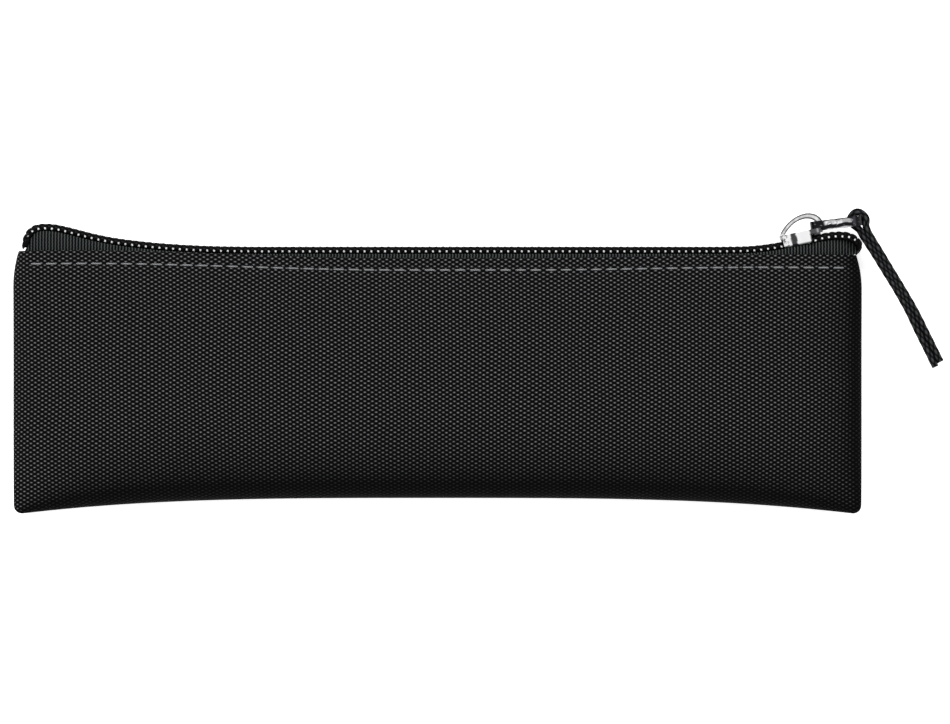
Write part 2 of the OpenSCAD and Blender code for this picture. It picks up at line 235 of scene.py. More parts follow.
def panel_at(u, t, inside, front):
    """A point of a panel, that far in from its outer face."""
    u, t = np.broadcast_arrays(np.asarray(u, float), np.asarray(t, float))
    y0 = mix(BOTTOM_Y, ZIP_Y - FOLD_DROP, t)
    x = (2 * u - 1) * (side_x(y0) - inside)
    y = mix(seam_y((2 * u - 1) * HALF_L) + inside, fold_y(x), t)
    z = front_z(u, t, inside) if front else back_z(u, t, inside)
    return np.stack((x, y, z), axis=-1)


# Meshes


def closed_tubes(name, rings, uv=None):
    """A mesh of K closed tubes. rings is K x n x m x 3 in millimetres, closed round m, and each end is
    closed by quads between the ring's two halves. uv is n x (m + 1) x 2. Turned outwards by its volume."""
    if rings.ndim == 3:
        rings = rings[None]
    count, n, m = rings.shape[:3]
    i = np.arange(n - 1)[:, None]
    j = np.arange(m)[None, :]
    k = (j + 1) % m
    wall = np.stack(np.broadcast_arrays(i * m + j, i * m + k, (i + 1) * m + k, (i + 1) * m + j), -1)
    c = np.arange(m // 2 - 1)
    cap = np.stack((c, c + 1, m - 2 - c, m - 1 - c), -1)
    one = np.concatenate((wall.reshape(-1, 4), cap[:, ::-1], cap + (n - 1) * m))
    points = rings.reshape(-1, 3) * MM
    corners = [points[one[:, a]] for a in range(4)]
    volume = sum(
        np.einsum("ij,ij->", a, np.cross(b, c))
        for a, b, c in ((corners[0], corners[1], corners[2]), (corners[0], corners[2], corners[3]))
    )
    order = slice(None) if volume > 0 else slice(None, None, -1)
    one = one[:, order]
    faces = (one[None] + (np.arange(count) * n * m)[:, None, None]).reshape(-1, 4)
    mesh = bpy.data.meshes.new(name)
    mesh.vertices.add(len(points))
    mesh.vertices.foreach_set("co", points.astype(np.float32).ravel())
    mesh.loops.add(faces.size)
    mesh.loops.foreach_set("vertex_index", faces.astype(np.int32).ravel())
    mesh.polygons.add(len(faces))
    mesh.polygons.foreach_set("loop_start", (np.arange(len(faces)) * 4).astype(np.int32))
    mesh.polygons.foreach_set("use_smooth", np.ones(len(faces), bool))
    if uv is not None:
        j1 = np.broadcast_to(j + 1, wall.shape[:2])
        j0 = np.broadcast_to(j, wall.shape[:2])
        i0 = np.broadcast_to(i, wall.shape[:2])
        walls = np.stack((uv[i0, j0], uv[i0, j1], uv[i0 + 1, j1], uv[i0 + 1, j0]), -2).reshape(-1, 4, 2)
        ends = np.concatenate((uv[0][cap[:, ::-1]], uv[n - 1][cap]))
        corner_uv = np.tile(np.concatenate((walls, ends))[:, order], (count, 1, 1))
        layer = mesh.uv_layers.new(name="Threads")
        layer.data.foreach_set("uv", corner_uv.astype(np.float32).ravel())
    mesh.update(calc_edges=True)
    mesh.validate()
    mesh.set_sharp_from_angle(angle=math.radians(50))
    piece = bpy.data.objects.new(name, mesh)
    bpy.context.scene.collection.objects.link(piece)
    return piece


def round_rings(line, radius, sides, start_angle=0.0, up=(0, 0, 1)):
    """Rings of a round tube along a line: each point plus radius times (cos a across + sin a up),
    where across is square to the line and to the given up direction."""
    along = np.gradient(line, axis=-2)
    along /= np.linalg.norm(along, axis=-1, keepdims=True)
    across = np.cross(along, np.asarray(up, float))
    across /= np.linalg.norm(across, axis=-1, keepdims=True)
    over = np.cross(across, along)
    a = start_angle + np.arange(sides) * 2 * math.pi / sides
    size = np.broadcast_to(np.asarray(radius, float), line.shape[:-1])[..., None, None]
    return line[..., None, :] + size * (
        np.cos(a)[:, None] * across[..., None, :] + np.sin(a)[:, None] * over[..., None, :]
    )


def flat_section(sides, high, wide, square):
    """The two coordinates round a flat section: high times a sine and wide times a cosine, each raised
    to a power below 1, which squares the section's corners."""
    a = np.arange(sides) * 2 * math.pi / sides
    up = high * np.sign(np.sin(a)) * np.abs(np.sin(a)) ** square
    out = wide * np.sign(np.cos(a)) * np.abs(np.cos(a)) ** square
    return up, out


def dress(piece, material, body=None, replaces=()):
    """Gives a piece its material, hides the nodes it stands for and hangs it on the body it rides on."""
    piece.data.materials.append(material)
    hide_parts(*replaces)
    if body:
        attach(piece, body)
    return piece


# The mouth opens between the zip's far stop and its closed end, so the front is made in two halves
SPLIT_X = 10.0
OPEN_LEFT = (-75.0, 0.0)
OPEN_RIGHT = (97.0, 20.0)


def open_with_mouth(piece, left):
    """Bakes the placement of half of the front into its mesh. The values for its closed end and the front
    wall are looked up but bend nothing.
    """
    still, free = OPEN_LEFT if left else OPEN_RIGHT
    still * MM
    free * MM
    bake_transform(piece)


# Cloth panels

PANEL_COLS = 320
PANEL_ROWS = 72
FOLD_ARC = 7
EDGE_CROWD = 0.42
ROW_CROWD = 1.35
STITCH_T = 1 - STITCH_IN / POUCH_H
FURROW = 0.16
FURROW_W = 0.55


def cloth_ripple(x, y):
    """Slight unevenness of empty cloth: three long slanting waves and a furrow under the topstitches."""
    waves = (
        0.10 * np.sin(x * 0.045 + y * 0.09 + 0.6)
        + 0.07 * np.sin(x * 0.11 - y * 0.05 + 2.1)
        + 0.05 * np.sin(x * 0.21 + y * 0.16 + 4.0)
    )
    row = fold_y(x) - STITCH_IN
    pulled = 0.7 + 0.3 * np.cos(2 * math.pi * x / STITCH_PITCH)
    dip = FURROW * pulled * np.exp(-((y - row) / FURROW_W) ** 2)
    return waves, dip


def panel_rings(front):
    """A panel as rings across its length: outer face up to the fold, a half round over the edge, and the
    inner face back down. The threads' coordinates are arc lengths in millimetres along both directions."""
    a = np.linspace(-1, 1, PANEL_COLS)
    u = ((a * (1 + EDGE_CROWD * (1 - a * a))) + 1) / 2
    t = np.linspace(0, 1, PANEL_ROWS) ** ROW_CROWD
    outer = panel_at(u[:, None], t[None], 0, front)
    inner = panel_at(u[:, None], t[None], CLOTH_T, front)
    for face in (outer, inner):
        waves, dip = cloth_ripple(face[..., 0], face[..., 1])
        held = np.minimum(1, fullness(u) ** 2)[:, None] * np.sin(math.pi * np.clip(t, 0, 1)) ** 0.7
        if front:
            face[..., 2] += waves * held - dip * fold_fullness(u)[:, None]
        else:
            face[..., 2] += (np.abs(waves) * held + dip * fold_fullness(u)[:, None]) * (t > 0.1)
    over = np.linspace(0, math.pi, FOLD_ARC + 2)[1:-1]
    middle = (outer[:, -1] + inner[:, -1]) / 2
    half = (outer[:, -1] - inner[:, -1]) / 2
    reach = np.linalg.norm(half, axis=-1)[:, None, None] * np.array((0, 1.0, 0))
    arc = middle[:, None] + np.cos(over)[:, None] * half[:, None] + np.sin(over)[:, None] * reach
    rings = np.concatenate((outer, arc, inner[:, ::-1]), axis=1)
    if rings.shape[1] % 2:
        rings = np.delete(rings, PANEL_ROWS + FOLD_ARC // 2, axis=1)
    across = np.linalg.norm(np.diff(rings, axis=1, append=rings[:, :1]), axis=-1)
    down = np.concatenate((np.zeros((len(u), 1)), np.cumsum(across, axis=1)), axis=1)
    down -= down[:, PANEL_ROWS - 1:PANEL_ROWS]
    steps = np.linalg.norm(np.diff(rings, axis=0), axis=-1)
    along = np.concatenate((np.zeros((1, rings.shape[1])), np.cumsum(steps, axis=0)))
    along -= along[PANEL_COLS // 2]
    along = np.concatenate((along, along[:, :1]), axis=1)
    return rings, np.stack((along, down), axis=-1)


def make_panels():
    """The back panel in one piece and the front panel in two halves that meet in one column."""
    cloth = woven_cloth()
    rings, uv = panel_rings(False)
    dress(closed_tubes("back_cloth", rings, uv), cloth, "pouch", ["back_panel"])
    rings, uv = panel_rings(True)
    cut = int(np.argmin(np.abs(rings[:, PANEL_ROWS // 2, 0] - SPLIT_X)))
    for name, part in (("front_cloth_left", slice(0, cut + 1)), ("front_cloth_right", slice(cut, None))):
        piece = closed_tubes(name, rings[part], uv[part])
        dress(piece, cloth, None, ["front_panel"])
        open_with_mouth(piece, name.endswith("left"))


# Zip

TAPE_STEPS = 420
TAPE_TRIM = (0.25, 0.8)
TAPE_FOLD_T = (0.985, 0.975)
TAPE_DEEP_T = 0.9
TAPE_CLEAR = 0.12
END_CLEAR = 0.5
TAPE_LEAST_W = 1.0
SEWN_IN = 0.2
BEND_POINTS = 6
TAPE_IN = (-0.013, 0.014)
BEND_IN = (0.002, 0.002)


def tape_u(s, end):
    """Where the tape's ring at s enters the cloth, as u of the panel. At the ends it is moved towards the
    middle by a ninth power: by the first of end at the left and by the second at the right."""
    raw = (np.interp(s, CHAIN_S, CHAIN_X) / side_x(ZIP_Y) + 1) / 2
    return np.clip(raw + np.where(raw < 0.5, end[0], end[1]) * (1 - 2 * raw) ** 9, 0.0005, 0.9995)


def tape_rings(s, front):
    """One tape as rings along the chain: under the coil, round a bend by a quadratic curve, down to the
    fold and inside the cloth, with a second face a tape's thickness inside the first."""
    u = tape_u(s, TAPE_IN)
    hem = CLOTH_T + mix(END_CLEAR, TAPE_CLEAR, fold_fullness(u))
    bend_w = np.maximum(TAPE_LEAST_W, fold_w(tape_u(s, BEND_IN)) - hem)
    side = 1 if front else -1
    under = -COIL_H / 2 + SEWN_IN
    start = side * (HEAD_REACH + spread(s))
    faces = []
    for depth, fold_t in zip((0.0, TAPE_T), TAPE_FOLD_T):
        first = beside_chain(s, under - depth, start)
        corner = beside_chain(s, under - depth, side * (bend_w - depth))
        fold = panel_at(u, fold_t, hem + depth, front)
        deep = panel_at(u, TAPE_DEEP_T, hem + depth, front)
        near = mix(corner, first, np.minimum(1, 0.9 / np.maximum(0.9, bend_w))[:, None])
        q = np.linspace(0, 1, BEND_POINTS)[:, None, None]
        far = mix(corner, fold, 0.6)
        bend = (1 - q) ** 2 * near + 2 * q * (1 - q) * corner + q * q * far
        faces.append(np.concatenate((first[None], bend, fold[None], deep[None])))
    return np.concatenate((faces[0], faces[1][::-1])).transpose(1, 0, 2)


def tape_uv(rings):
    """Place along the pouch, which keeps the ribs upright, and distance round each ring."""
    steps = np.linalg.norm(np.diff(rings, axis=1, append=rings[:, :1]), axis=-1)
    round_ring = np.concatenate((np.zeros((len(rings), 1)), np.cumsum(steps, axis=1)), axis=1)
    along = np.concatenate((rings[..., 0], rings[:, :1, 0]), axis=1)
    return np.stack((along, round_ring), axis=-1)


COIL_LOOPS = int((CHAIN_L - 2 * COIL_PITCH) // COIL_PITCH)
COIL_START = (CHAIN_L - COIL_LOOPS * COIL_PITCH) / 2
HEAD_POINTS = 7
BACK_POINTS = 8
WIRE_SIDES = 10
BACK_WIDE = 2.2
BACK_WIDE_OVER = 1.2


def coil_rings(loops, phase, side):
    """One wire wound into flat loops. Each loop is a low leg, a half round head, a high leg and a half
    round back bend that moves on by one pitch; side is 1 for the front coil and -1 for the back one.
    The wire is round at the heads and pressed wide along the chain at the back bends. The second value
    holds the threads' coordinates: the number of loops so far, and the turn round the wire."""
    r = WIRE_T / 2
    h = COIL_H / 2 - r
    head_w = h + r - HEAD_REACH
    back_w = COIL_W - r - h
    head = np.linspace(0, math.pi, HEAD_POINTS)
    back = np.linspace(0, math.pi, BACK_POINTS)
    step = np.concatenate((np.zeros(HEAD_POINTS), smooth(back / math.pi)))
    v = np.concatenate((-h * np.cos(head), h * np.cos(back)))
    w = np.concatenate((head_w - h * np.sin(head), back_w + h * np.sin(back)))
    s = COIL_START + (loops[:, None] + phase + step[None]) * COIL_PITCH
    s = s.ravel()
    v = np.tile(v, len(loops))
    w = np.tile(w, len(loops))
    line = beside_chain(s, v, side * (w + spread(s)))
    turn = np.radians(heading(s))
    chain = np.stack((np.cos(turn), np.sin(turn), np.zeros_like(turn)), axis=-1)
    along = np.gradient(line, axis=0)
    along /= np.linalg.norm(along, axis=-1, keepdims=True)
    across = np.cross(along, chain)
    across /= np.linalg.norm(across, axis=-1, keepdims=True)
    over = np.cross(across, along)
    a = np.arange(WIRE_SIDES) * 2 * math.pi / WIRE_SIDES
    wide = (1 + (BACK_WIDE - 1) * smooth((w - HEAD_REACH) / BACK_WIDE_OVER))[:, None, None]
    rings = line[:, None] + r * (
        np.cos(a)[:, None] * across[:, None] + wide * np.sin(a)[:, None] * over[:, None]
    )
    turn = np.linspace(0, 1, WIRE_SIDES + 1)
    loop = (s - COIL_START) / COIL_PITCH - phase
    offset = r * wide[:, 0] * np.sin(2 * math.pi * turn)[None] * np.sum(over * chain, axis=-1)[:, None]
    return rings, np.stack(np.broadcast_arrays(loop[:, None] + offset / COIL_PITCH, turn[None]), axis=-1)


CORE_GAP = 0.12
CORE_SIDES = 16
CORE_STEPS = 260
CORE_SQUARE = 0.6


def core_rings(s, side):
    """The filler cord in a coil: a rounded flat section along the chain."""
    near = HEAD_REACH + CORE_GAP
    far = COIL_W - WIRE_T - CORE_GAP
    high = COIL_H / 2 - WIRE_T - CORE_GAP
    v, w = flat_section(CORE_SIDES, high, (far - near) / 2, CORE_SQUARE)
    w = w + (near + far) / 2
    return beside_chain(s[:, None], v[None], side * (w[None] + spread(s)[:, None]))


def split_s():
    """The distance along the chain at which the front's two halves meet."""
    return float(np.interp(SPLIT_X, CHAIN_X, CHAIN_S))


def make_zip():
    """Both tapes, coils and filler cords; those of the front in two halves."""
    tape = zip_tape_cloth()
    nylon = coil_nylon()
    filler = filler_thread()
    whole = (0.0, CHAIN_L)
    halves = ((0.0, split_s()), (split_s(), CHAIN_L))
    for side, word, spans in ((-1, "back", [whole]), (1, "front", halves)):
        phase = 0.0 if side > 0 else 0.5
        for span, name in zip(spans, ("",) if side < 0 else ("_left", "_right")):
            low, high = span
            body = "pouch" if side < 0 else None
            s = np.linspace(
                max(low, TAPE_TRIM[0]), min(high, CHAIN_L - TAPE_TRIM[1]),
                max(8, int(TAPE_STEPS * (high - low) / CHAIN_L)),
            )
            rings = tape_rings(s, side > 0)
            pieces = [dress(
                closed_tubes(word + "_tape" + name, rings, tape_uv(rings)),
                tape, body, [word + "_zip_tape"],
            )]
            first = int(np.ceil(max(-1, (low - COIL_START) / COIL_PITCH - phase)))
            last = int(np.ceil(min(COIL_LOOPS, (high - COIL_START) / COIL_PITCH - phase)))
            pieces.append(dress(
                closed_tubes(word + "_coil" + name, *coil_rings(np.arange(first, last), phase, side)),
                nylon, body, [word + "_zip_coil"],
            ))
            s = np.linspace(max(low, COIL_START), min(high, CHAIN_L - COIL_START), CORE_STEPS)
            pieces.append(dress(
                closed_tubes(word + "_core" + name, core_rings(s, side)),
                filler, body, [word + "_coil_core"],
            ))
            if side > 0:
                for piece in pieces:
                    open_with_mouth(piece, name == "_left")


# Stitches

STITCHES = int((POUCH_L - 8) // STITCH_PITCH)
THREAD_R = 0.19
STITCH_RINGS = 9
STITCH_LIFT = 0.3
STITCH_SINK = 0.5


def stitch_rings(numbers, front):
    """Topstitches as short round tubes that follow the panel and dip into the cloth at both ends."""
    x = (numbers + 0.5 - STITCHES / 2) * STITCH_PITCH
    q = np.linspace(-1, 1, STITCH_RINGS)
    reach = STITCH_L / 2 / side_x(ZIP_Y) / 2
    u = (x[:, None] / side_x(ZIP_Y) + 1) / 2 + q[None] * reach
    line = panel_at(u, STITCH_T, 0, front)
    sunk = np.abs(q) ** 10
    lift = STITCH_LIFT - STITCH_SINK * sunk - FURROW * fold_fullness(u)
    line[..., 2] += lift if front else -lift
    size = THREAD_R * (1 - 0.35 * sunk)
    return round_rings(line, np.broadcast_to(size, u.shape), 8)


def make_stitches():
    """The row of topstitches below each folded edge."""
    thread = stitch_thread()
    rings = stitch_rings(np.arange(STITCHES), False)
    dress(closed_tubes("back_stitches", rings), thread, "pouch", ["back_topstitch"])
    cut = int(STITCHES / 2 + SPLIT_X / STITCH_PITCH)
    for name, numbers in (("left", np.arange(cut)), ("right", np.arange(cut, STITCHES))):
        piece = closed_tubes("front_stitches_" + name, stitch_rings(numbers, True))
        dress(piece, thread, None, ["front_topstitch"])
        open_with_mouth(piece, name == "left")


# Seam bindings

BINDING_W = 3.2
BINDING_T = 1.1
BINDING_GAP = 0.7
BINDING_SPAN = (0.12, 0.86)
BINDING_STEPS = 90
BINDING_SIDES = 20
BINDING_SQUARE = 0.3


def binding_rings(side):
    """A folded strip along a side seam: a nearly square flat section at every height t."""
    t = np.linspace(*BINDING_SPAN, BINDING_STEPS)
    edge = panel_at(0.5 + side / 2, t, CLOTH_T + BINDING_GAP, True)
    middle = np.stack((edge[:, 0] - side * BINDING_W / 2, edge[:, 1], seam_z(t)), axis=-1)
    z, x = flat_section(BINDING_SIDES, BINDING_T / 2, BINDING_W / 2, BINDING_SQUARE)
    section = np.stack((x, np.zeros_like(x), z), axis=-1)
    return middle[:, None] + section[None], t


def make_bindings():
    """The binding strips round both side seams, inside the pouch."""
    strip = binding_cloth()
    for side, word in ((-1, "left"), (1, "right")):
        rings, t = binding_rings(side)
        run = np.broadcast_to((t * POUCH_H)[:, None], (len(t), BINDING_SIDES + 1))
        girth = 2 * (BINDING_W + BINDING_T)
        turn = np.broadcast_to(np.linspace(0, girth, BINDING_SIDES + 1)[None], run.shape)
        piece = closed_tubes(word + "_binding", rings, np.stack((run, turn), axis=-1))
        dress(piece, strip, "pouch", [word + "_seam_binding"])


# Metal pieces


SLIDER_MIDDLE = (85.52, 31.28)
SLIDER_TURN = 11.5
CROWN_MIDDLE = (85.7458, 31.9376)
CROWN_R = 5.0
CROWN_FROM = 2.3
CROWN_LEAN = 0.36
CROWN_FULLER = 0.1
LINK_EYE = (89.6589, 35.0501)
LINK_TURN = 7.0
LINK_BAR_FROM = 9.0
LINK_FULLER_ABOVE = 0.5
LINK_FULLER_BELOW = 1.0
LINK_LONGER = 0.25
CAST_ANGLE = math.radians(32)


def local_axes(turn):
    """The directions along and square to a piece that is turned by that many degrees."""
    a = math.radians(turn)
    return np.array((math.cos(a), math.sin(a))), np.array((-math.sin(a), math.cos(a)))


def fuller_crown(points):
    """Leans the crown's arch towards the link, and makes its rod a little thicker."""
    along, over = local_axes(SLIDER_TURN)
    out = (points - SLIDER_MIDDLE) @ over
    arm = points - CROWN_MIDDLE
    radius = np.linalg.norm(arm, axis=1)
    share = CROWN_FULLER * smooth((out - CROWN_FROM) / 0.6)
    wanted = CROWN_R + (radius - CROWN_R) * (1 + share)
    lean = CROWN_LEAN * np.maximum(0, out - CROWN_FROM)[:, None] * along
    return CROWN_MIDDLE + arm * (wanted / np.maximum(radius, 1e-6))[:, None] + lean


def fuller_link(points):
    """Makes the link thicker square to its plane, mostly downwards, and a little longer at its bar."""
    along, over = local_axes(LINK_TURN)
    out = ((points - LINK_EYE) @ over)[:, None]
    bar = smooth(((points - LINK_EYE) @ along)[:, None] - LINK_BAR_FROM)
    fuller = np.where(out < 0, LINK_FULLER_BELOW, LINK_FULLER_ABOVE)
    return points + fuller * out * over + LINK_LONGER * bar * along


def soften_copy(node, name, width, shape):
    """A copy of a node's solid, with its outline reshaped and its edges rounded as in a casting."""
    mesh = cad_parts[node].data.copy()
    mesh.materials.clear()
    solid = bmesh.new()
    solid.from_mesh(mesh)
    bmesh.ops.remove_doubles(solid, verts=solid.verts, dist=2e-6)
    bmesh.ops.dissolve_limit(solid, angle_limit=math.radians(1.5), verts=solid.verts, edges=solid.edges)
    solid.to_mesh(mesh)
    solid.free()
    points = np.empty(len(mesh.vertices) * 3, np.float32)
    mesh.vertices.foreach_get("co", points)
    points = points.reshape(-1, 3).astype(float)
    points[:, :2] = shape(points[:, :2] / MM) * MM
    mesh.vertices.foreach_set("co", points.astype(np.float32).ravel())
    mesh.name = name
    piece = bpy.data.objects.new(name, mesh)
    bpy.context.scene.collection.objects.link(piece)
    mesh.set_sharp_from_angle(angle=CAST_ANGLE)
    for face in mesh.polygons:
        face.use_smooth = True
    edge = piece.modifiers.new("Cast edges", "BEVEL")
    edge.width = width * MM
    edge.segments = 3
    edge.limit_method = "ANGLE"
    edge.angle_limit = CAST_ANGLE
    edge.harden_normals = True
    edge.miter_outer = "MITER_ARC"
    return piece


def make_metal():
    """The slider with its crown, and the pull link."""
    slider = soften_copy("slider", "slider_casting", 0.42, fuller_crown)
    dress(slider, slider_nickel(), "slider", ["slider"])
    link = soften_copy("pull_link", "pull_link_plate", 0.3, fuller_link)
    dress(link, link_nickel(), "pull_link", ["pull_link"])


# Pull cord

LINK_BAR = np.array((98.9392, 36.1896, 6.0))
CORD_ROUTE = np.array([
    (19.5, -33.2, -5.3), (17.9, -30.0, -5.3), (15.5, -25.2, -5.0), (13.1, -20.6, -4.3),
    (10.2, -15.8, -3.3), (7.3, -11.2, -2.1), (4.8, -7.2, -1.0), (2.7, -3.9, -0.3),
    (1.6, -1.7, 0), (1.6, 0, 0), (1.2, 0.95, 0), (0.45, 1.65, 0), (-0.4, 1.9, 0),
    (-1.3, 1.6, 0), (-1.95, 0.8, 0), (-2.1, -0.1, 0), (-1.6, -1.0, 0), (-0.15, -2.1, 0),
    (0.95, -3.9, -0.2), (2.3, -5.9, -0.6), (3.95, -8.4, -1.2), (6.3, -12.1, -2.2),
    (9.1, -16.5, -3.3), (11.8, -21.2, -4.3), (14.1, -25.9, -5.0), (16.5, -30.7, -5.3),
    (18.3, -34.4, -5.3),
])
CORD_STEP = 0.12
CORD_SIDES = 32
BRAID_PITCH = 5.2
BRAID_STRANDS = 8
BRAID_R = 0.82


def eased_line(points, step):
    """A Catmull-Rom curve through the points, sampled again at even steps of its length."""
    p = np.concatenate((2 * points[:1] - points[1:2], points, 2 * points[-1:] - points[-2:-1]))
    q = np.linspace(0, 1, 24, endpoint=False)[:, None]
    a, b, c, d = (p[k:len(p) - 3 + k][:, None] for k in range(4))
    curve = 0.5 * (
        2 * b + (c - a) * q + (2 * a - 5 * b + 4 * c - d) * q ** 2 + (3 * b - a - 3 * c + d) * q ** 3
    )
    curve = np.concatenate((curve.reshape(-1, 3), points[-1:]))
    run = np.concatenate(([0], np.cumsum(np.linalg.norm(np.diff(curve, axis=0), axis=1))))
    even = np.linspace(0, run[-1], int(run[-1] / step))
    return np.stack([np.interp(even, run, curve[:, k]) for k in range(3)], axis=-1), even


def make_cord():
    """The braided cord: a round tube along the eased route. The radius follows the product of two
    cosines that run round the cord in opposite spirals, which gives the strands' crossings, and grows a
    little at the fold round the bar."""
    line, run = eased_line(LINK_BAR + CORD_ROUTE, CORD_STEP)
    a = np.arange(CORD_SIDES) * 2 * math.pi / CORD_SIDES
    half = BRAID_STRANDS / 2
    one = half * a[None] - 2 * math.pi * run[:, None] / BRAID_PITCH * half / 2
    other = half * a[None] + 2 * math.pi * run[:, None] / BRAID_PITCH * half / 2
    crossing = np.abs(np.cos(one / 2)) * np.abs(np.cos(other / 2))
    fuller = 0.08 * np.exp(-((run[:, None] - run[-1] / 2) / 6) ** 2)
    radius = BRAID_R * (0.94 + 0.08 * crossing + fuller)
    unit = round_rings(line, 1.0, CORD_SIDES)
    rings = line[:, None] + (unit - line[:, None]) * radius[..., None]
    turn = np.linspace(0, 1, CORD_SIDES + 1)
    uv = np.stack(np.broadcast_arrays(run[:, None], turn[None]), axis=-1)
    piece = dress(
        closed_tubes("pull_cord_braid", rings, uv), braided_cord(), "pull_cord", ["pull_cord"]
    )



# Materials


class Value:
    """A number on a node's socket. Python's operators add the Math nodes for it."""

    def __init__(self, finish, socket):
        self.finish = finish
        self.socket = socket

    def math(self, operation, *others):
        inputs = dict(enumerate((self, *others)))
        node = self.finish.node("ShaderNodeMath", {"operation": operation}, inputs)
        return Value(self.finish, node.outputs[0])

    def __add__(self, other):
        return self.math("ADD", other)

    def __mul__(self, other):
        return self.math("MULTIPLY", other)

    def __sub__(self, other):
        return self.math("SUBTRACT", other)

    def __rsub__(self, other):
        return (self * -1) + other

    def __truediv__(self, other):
        return self.math("DIVIDE", other)

    def __pow__(self, other):
        return self.math("POWER", other)

    __radd__ = __add__
    __rmul__ = __mul__

    def floor(self):
        return self.math("FLOOR")

    def part(self):
        """What is left over its whole number."""
        return self.math("FRACT")

    def wave(self):
        """Cosine of it, in turns of 1."""
        return (self * (2 * math.pi)).math("COSINE")

    def size(self):
        return self.math("ABSOLUTE")

    def step(self, low, high):
        """Goes smoothly from 0 at low to 1 at high."""
        node = self.finish.node("ShaderNodeMapRange", {"interpolation_type": "SMOOTHSTEP"}, {
            "Value": self, "From Min": low, "From Max": high,
        })
        return Value(self.finish, node.outputs[0])

    def odd(self):
        """1 where its whole number is odd."""
        return self.floor().math("FLOORED_MODULO", 2)


class Finish:
    """One procedural material, with a Principled BSDF."""

    def __init__(self, name, **constants):
        self.material = bpy.data.materials.new(name)
        self.material.use_nodes = True
        self.tree = self.material.node_tree
        self.surface = self.tree.nodes["Principled BSDF"]
        for label, value in constants.items():
            self.surface.inputs[label.replace("_", " ").title().replace("Ior", "IOR")].default_value = value

    def node(self, kind, settings=None, values=None):
        """Adds a node: its settings first, a ramp's stops among them, then its sockets' values or links."""
        node = self.tree.nodes.new(kind)
        for label, value in (settings or {}).items():
            if label == "stops":
                ramp = node.color_ramp
                for extra in range(len(value) - 2):
                    ramp.elements.new(0.5)
                for element, (place, colour) in zip(ramp.elements, value):
                    element.position = place
                    element.color = (*colour, 1)
            else:
                setattr(node, label, value)
        for label, value in (values or {}).items():
            socket = node.inputs[label]
            if isinstance(value, Value):
                self.tree.links.new(value.socket, socket)
            elif isinstance(value, bpy.types.NodeSocket):
                self.tree.links.new(value, socket)
            else:
                socket.default_value = value
        return node

    def threads(self):
        """The piece's own thread coordinates, in millimetres."""
        place = self.node("ShaderNodeUVMap", {"uv_map": "Threads"})
        parts = self.node("ShaderNodeSeparateXYZ", None, {0: place.outputs[0]})
        return Value(self, parts.outputs[0]), Value(self, parts.outputs[1])

    def place(self):
        return self.node("ShaderNodeTexCoord").outputs["Object"]

    def dot(self, vector, direction):
        node = self.node("ShaderNodeVectorMath", {"operation": "DOT_PRODUCT"}, {0: vector, 1: direction})
        return Value(self, node.outputs["Value"])

    def facing(self, direction):
        """How far the surface faces a direction, from -1 to 1."""
        length = math.sqrt(sum(part * part for part in direction))
        normal = self.node("ShaderNodeTexCoord").outputs["Normal"]
        return self.dot(normal, [part / length for part in direction])

    def reach(self, start, direction):
        """Distance in millimetres from a start point along a direction, both in the pouch's plane."""
        return self.dot(self.place(), (*direction, 0.0)) / MM - float(np.dot(start, direction))

    def noise(self, per_mm, detail=2.0, roughness=0.5, vector=None):
        """Noise with about that many features a millimetre, from 0 to 1."""
        values = {"Vector": vector or self.place(), "Scale": per_mm / MM if vector is None else per_mm,
                  "Detail": detail, "Roughness": roughness}
        return Value(self, self.node("ShaderNodeTexNoise", None, values).outputs[0])

    def vector(self, x, y, z=0.0):
        return self.node("ShaderNodeCombineXYZ", None, {0: x, 1: y, 2: z}).outputs[0]

    def blend(self, share, low, high):
        """A colour between two colours."""
        node = self.node("ShaderNodeMix", {"data_type": "RGBA"}, {"Factor": share})
        for label, value in (("A", low), ("B", high)):
            socket = [s for s in node.inputs if s.name == label and s.type == "RGBA"][0]
            if isinstance(value, bpy.types.NodeSocket):
                self.tree.links.new(value, socket)
            else:
                socket.default_value = (*value, 1)
        return [s for s in node.outputs if s.type == "RGBA"][0]

    def colour(self, socket):
        self.tree.links.new(socket, self.surface.inputs["Base Color"])

    def rough(self, value):
        self.tree.links.new(value.socket, self.surface.inputs["Roughness"])

    def bump(self, height, depth_mm, strength=1.0):
        node = self.node("ShaderNodeBump", None, {
            "Height": height, "Distance": depth_mm * MM, "Strength": strength,
        })
        self.tree.links.new(node.outputs[0], self.surface.inputs["Normal"])


def weave_height(u, v, across, down):
    """Height of a plain weave, 0 to 1: each thread is a rounded ridge that stands up where it is on top."""
    a = u / across
    b = v / down
    on_top = (a.floor() + b.floor()).odd()
    ca = (a.part() * 2 - 1) ** 2
    cb = (b.part() * 2 - 1) ** 2
    standing = (1 - ca) * (1 - cb * 0.55)
    lying = (1 - cb) * (1 - ca * 0.55)
    return standing * (1 - on_top) + lying * on_top


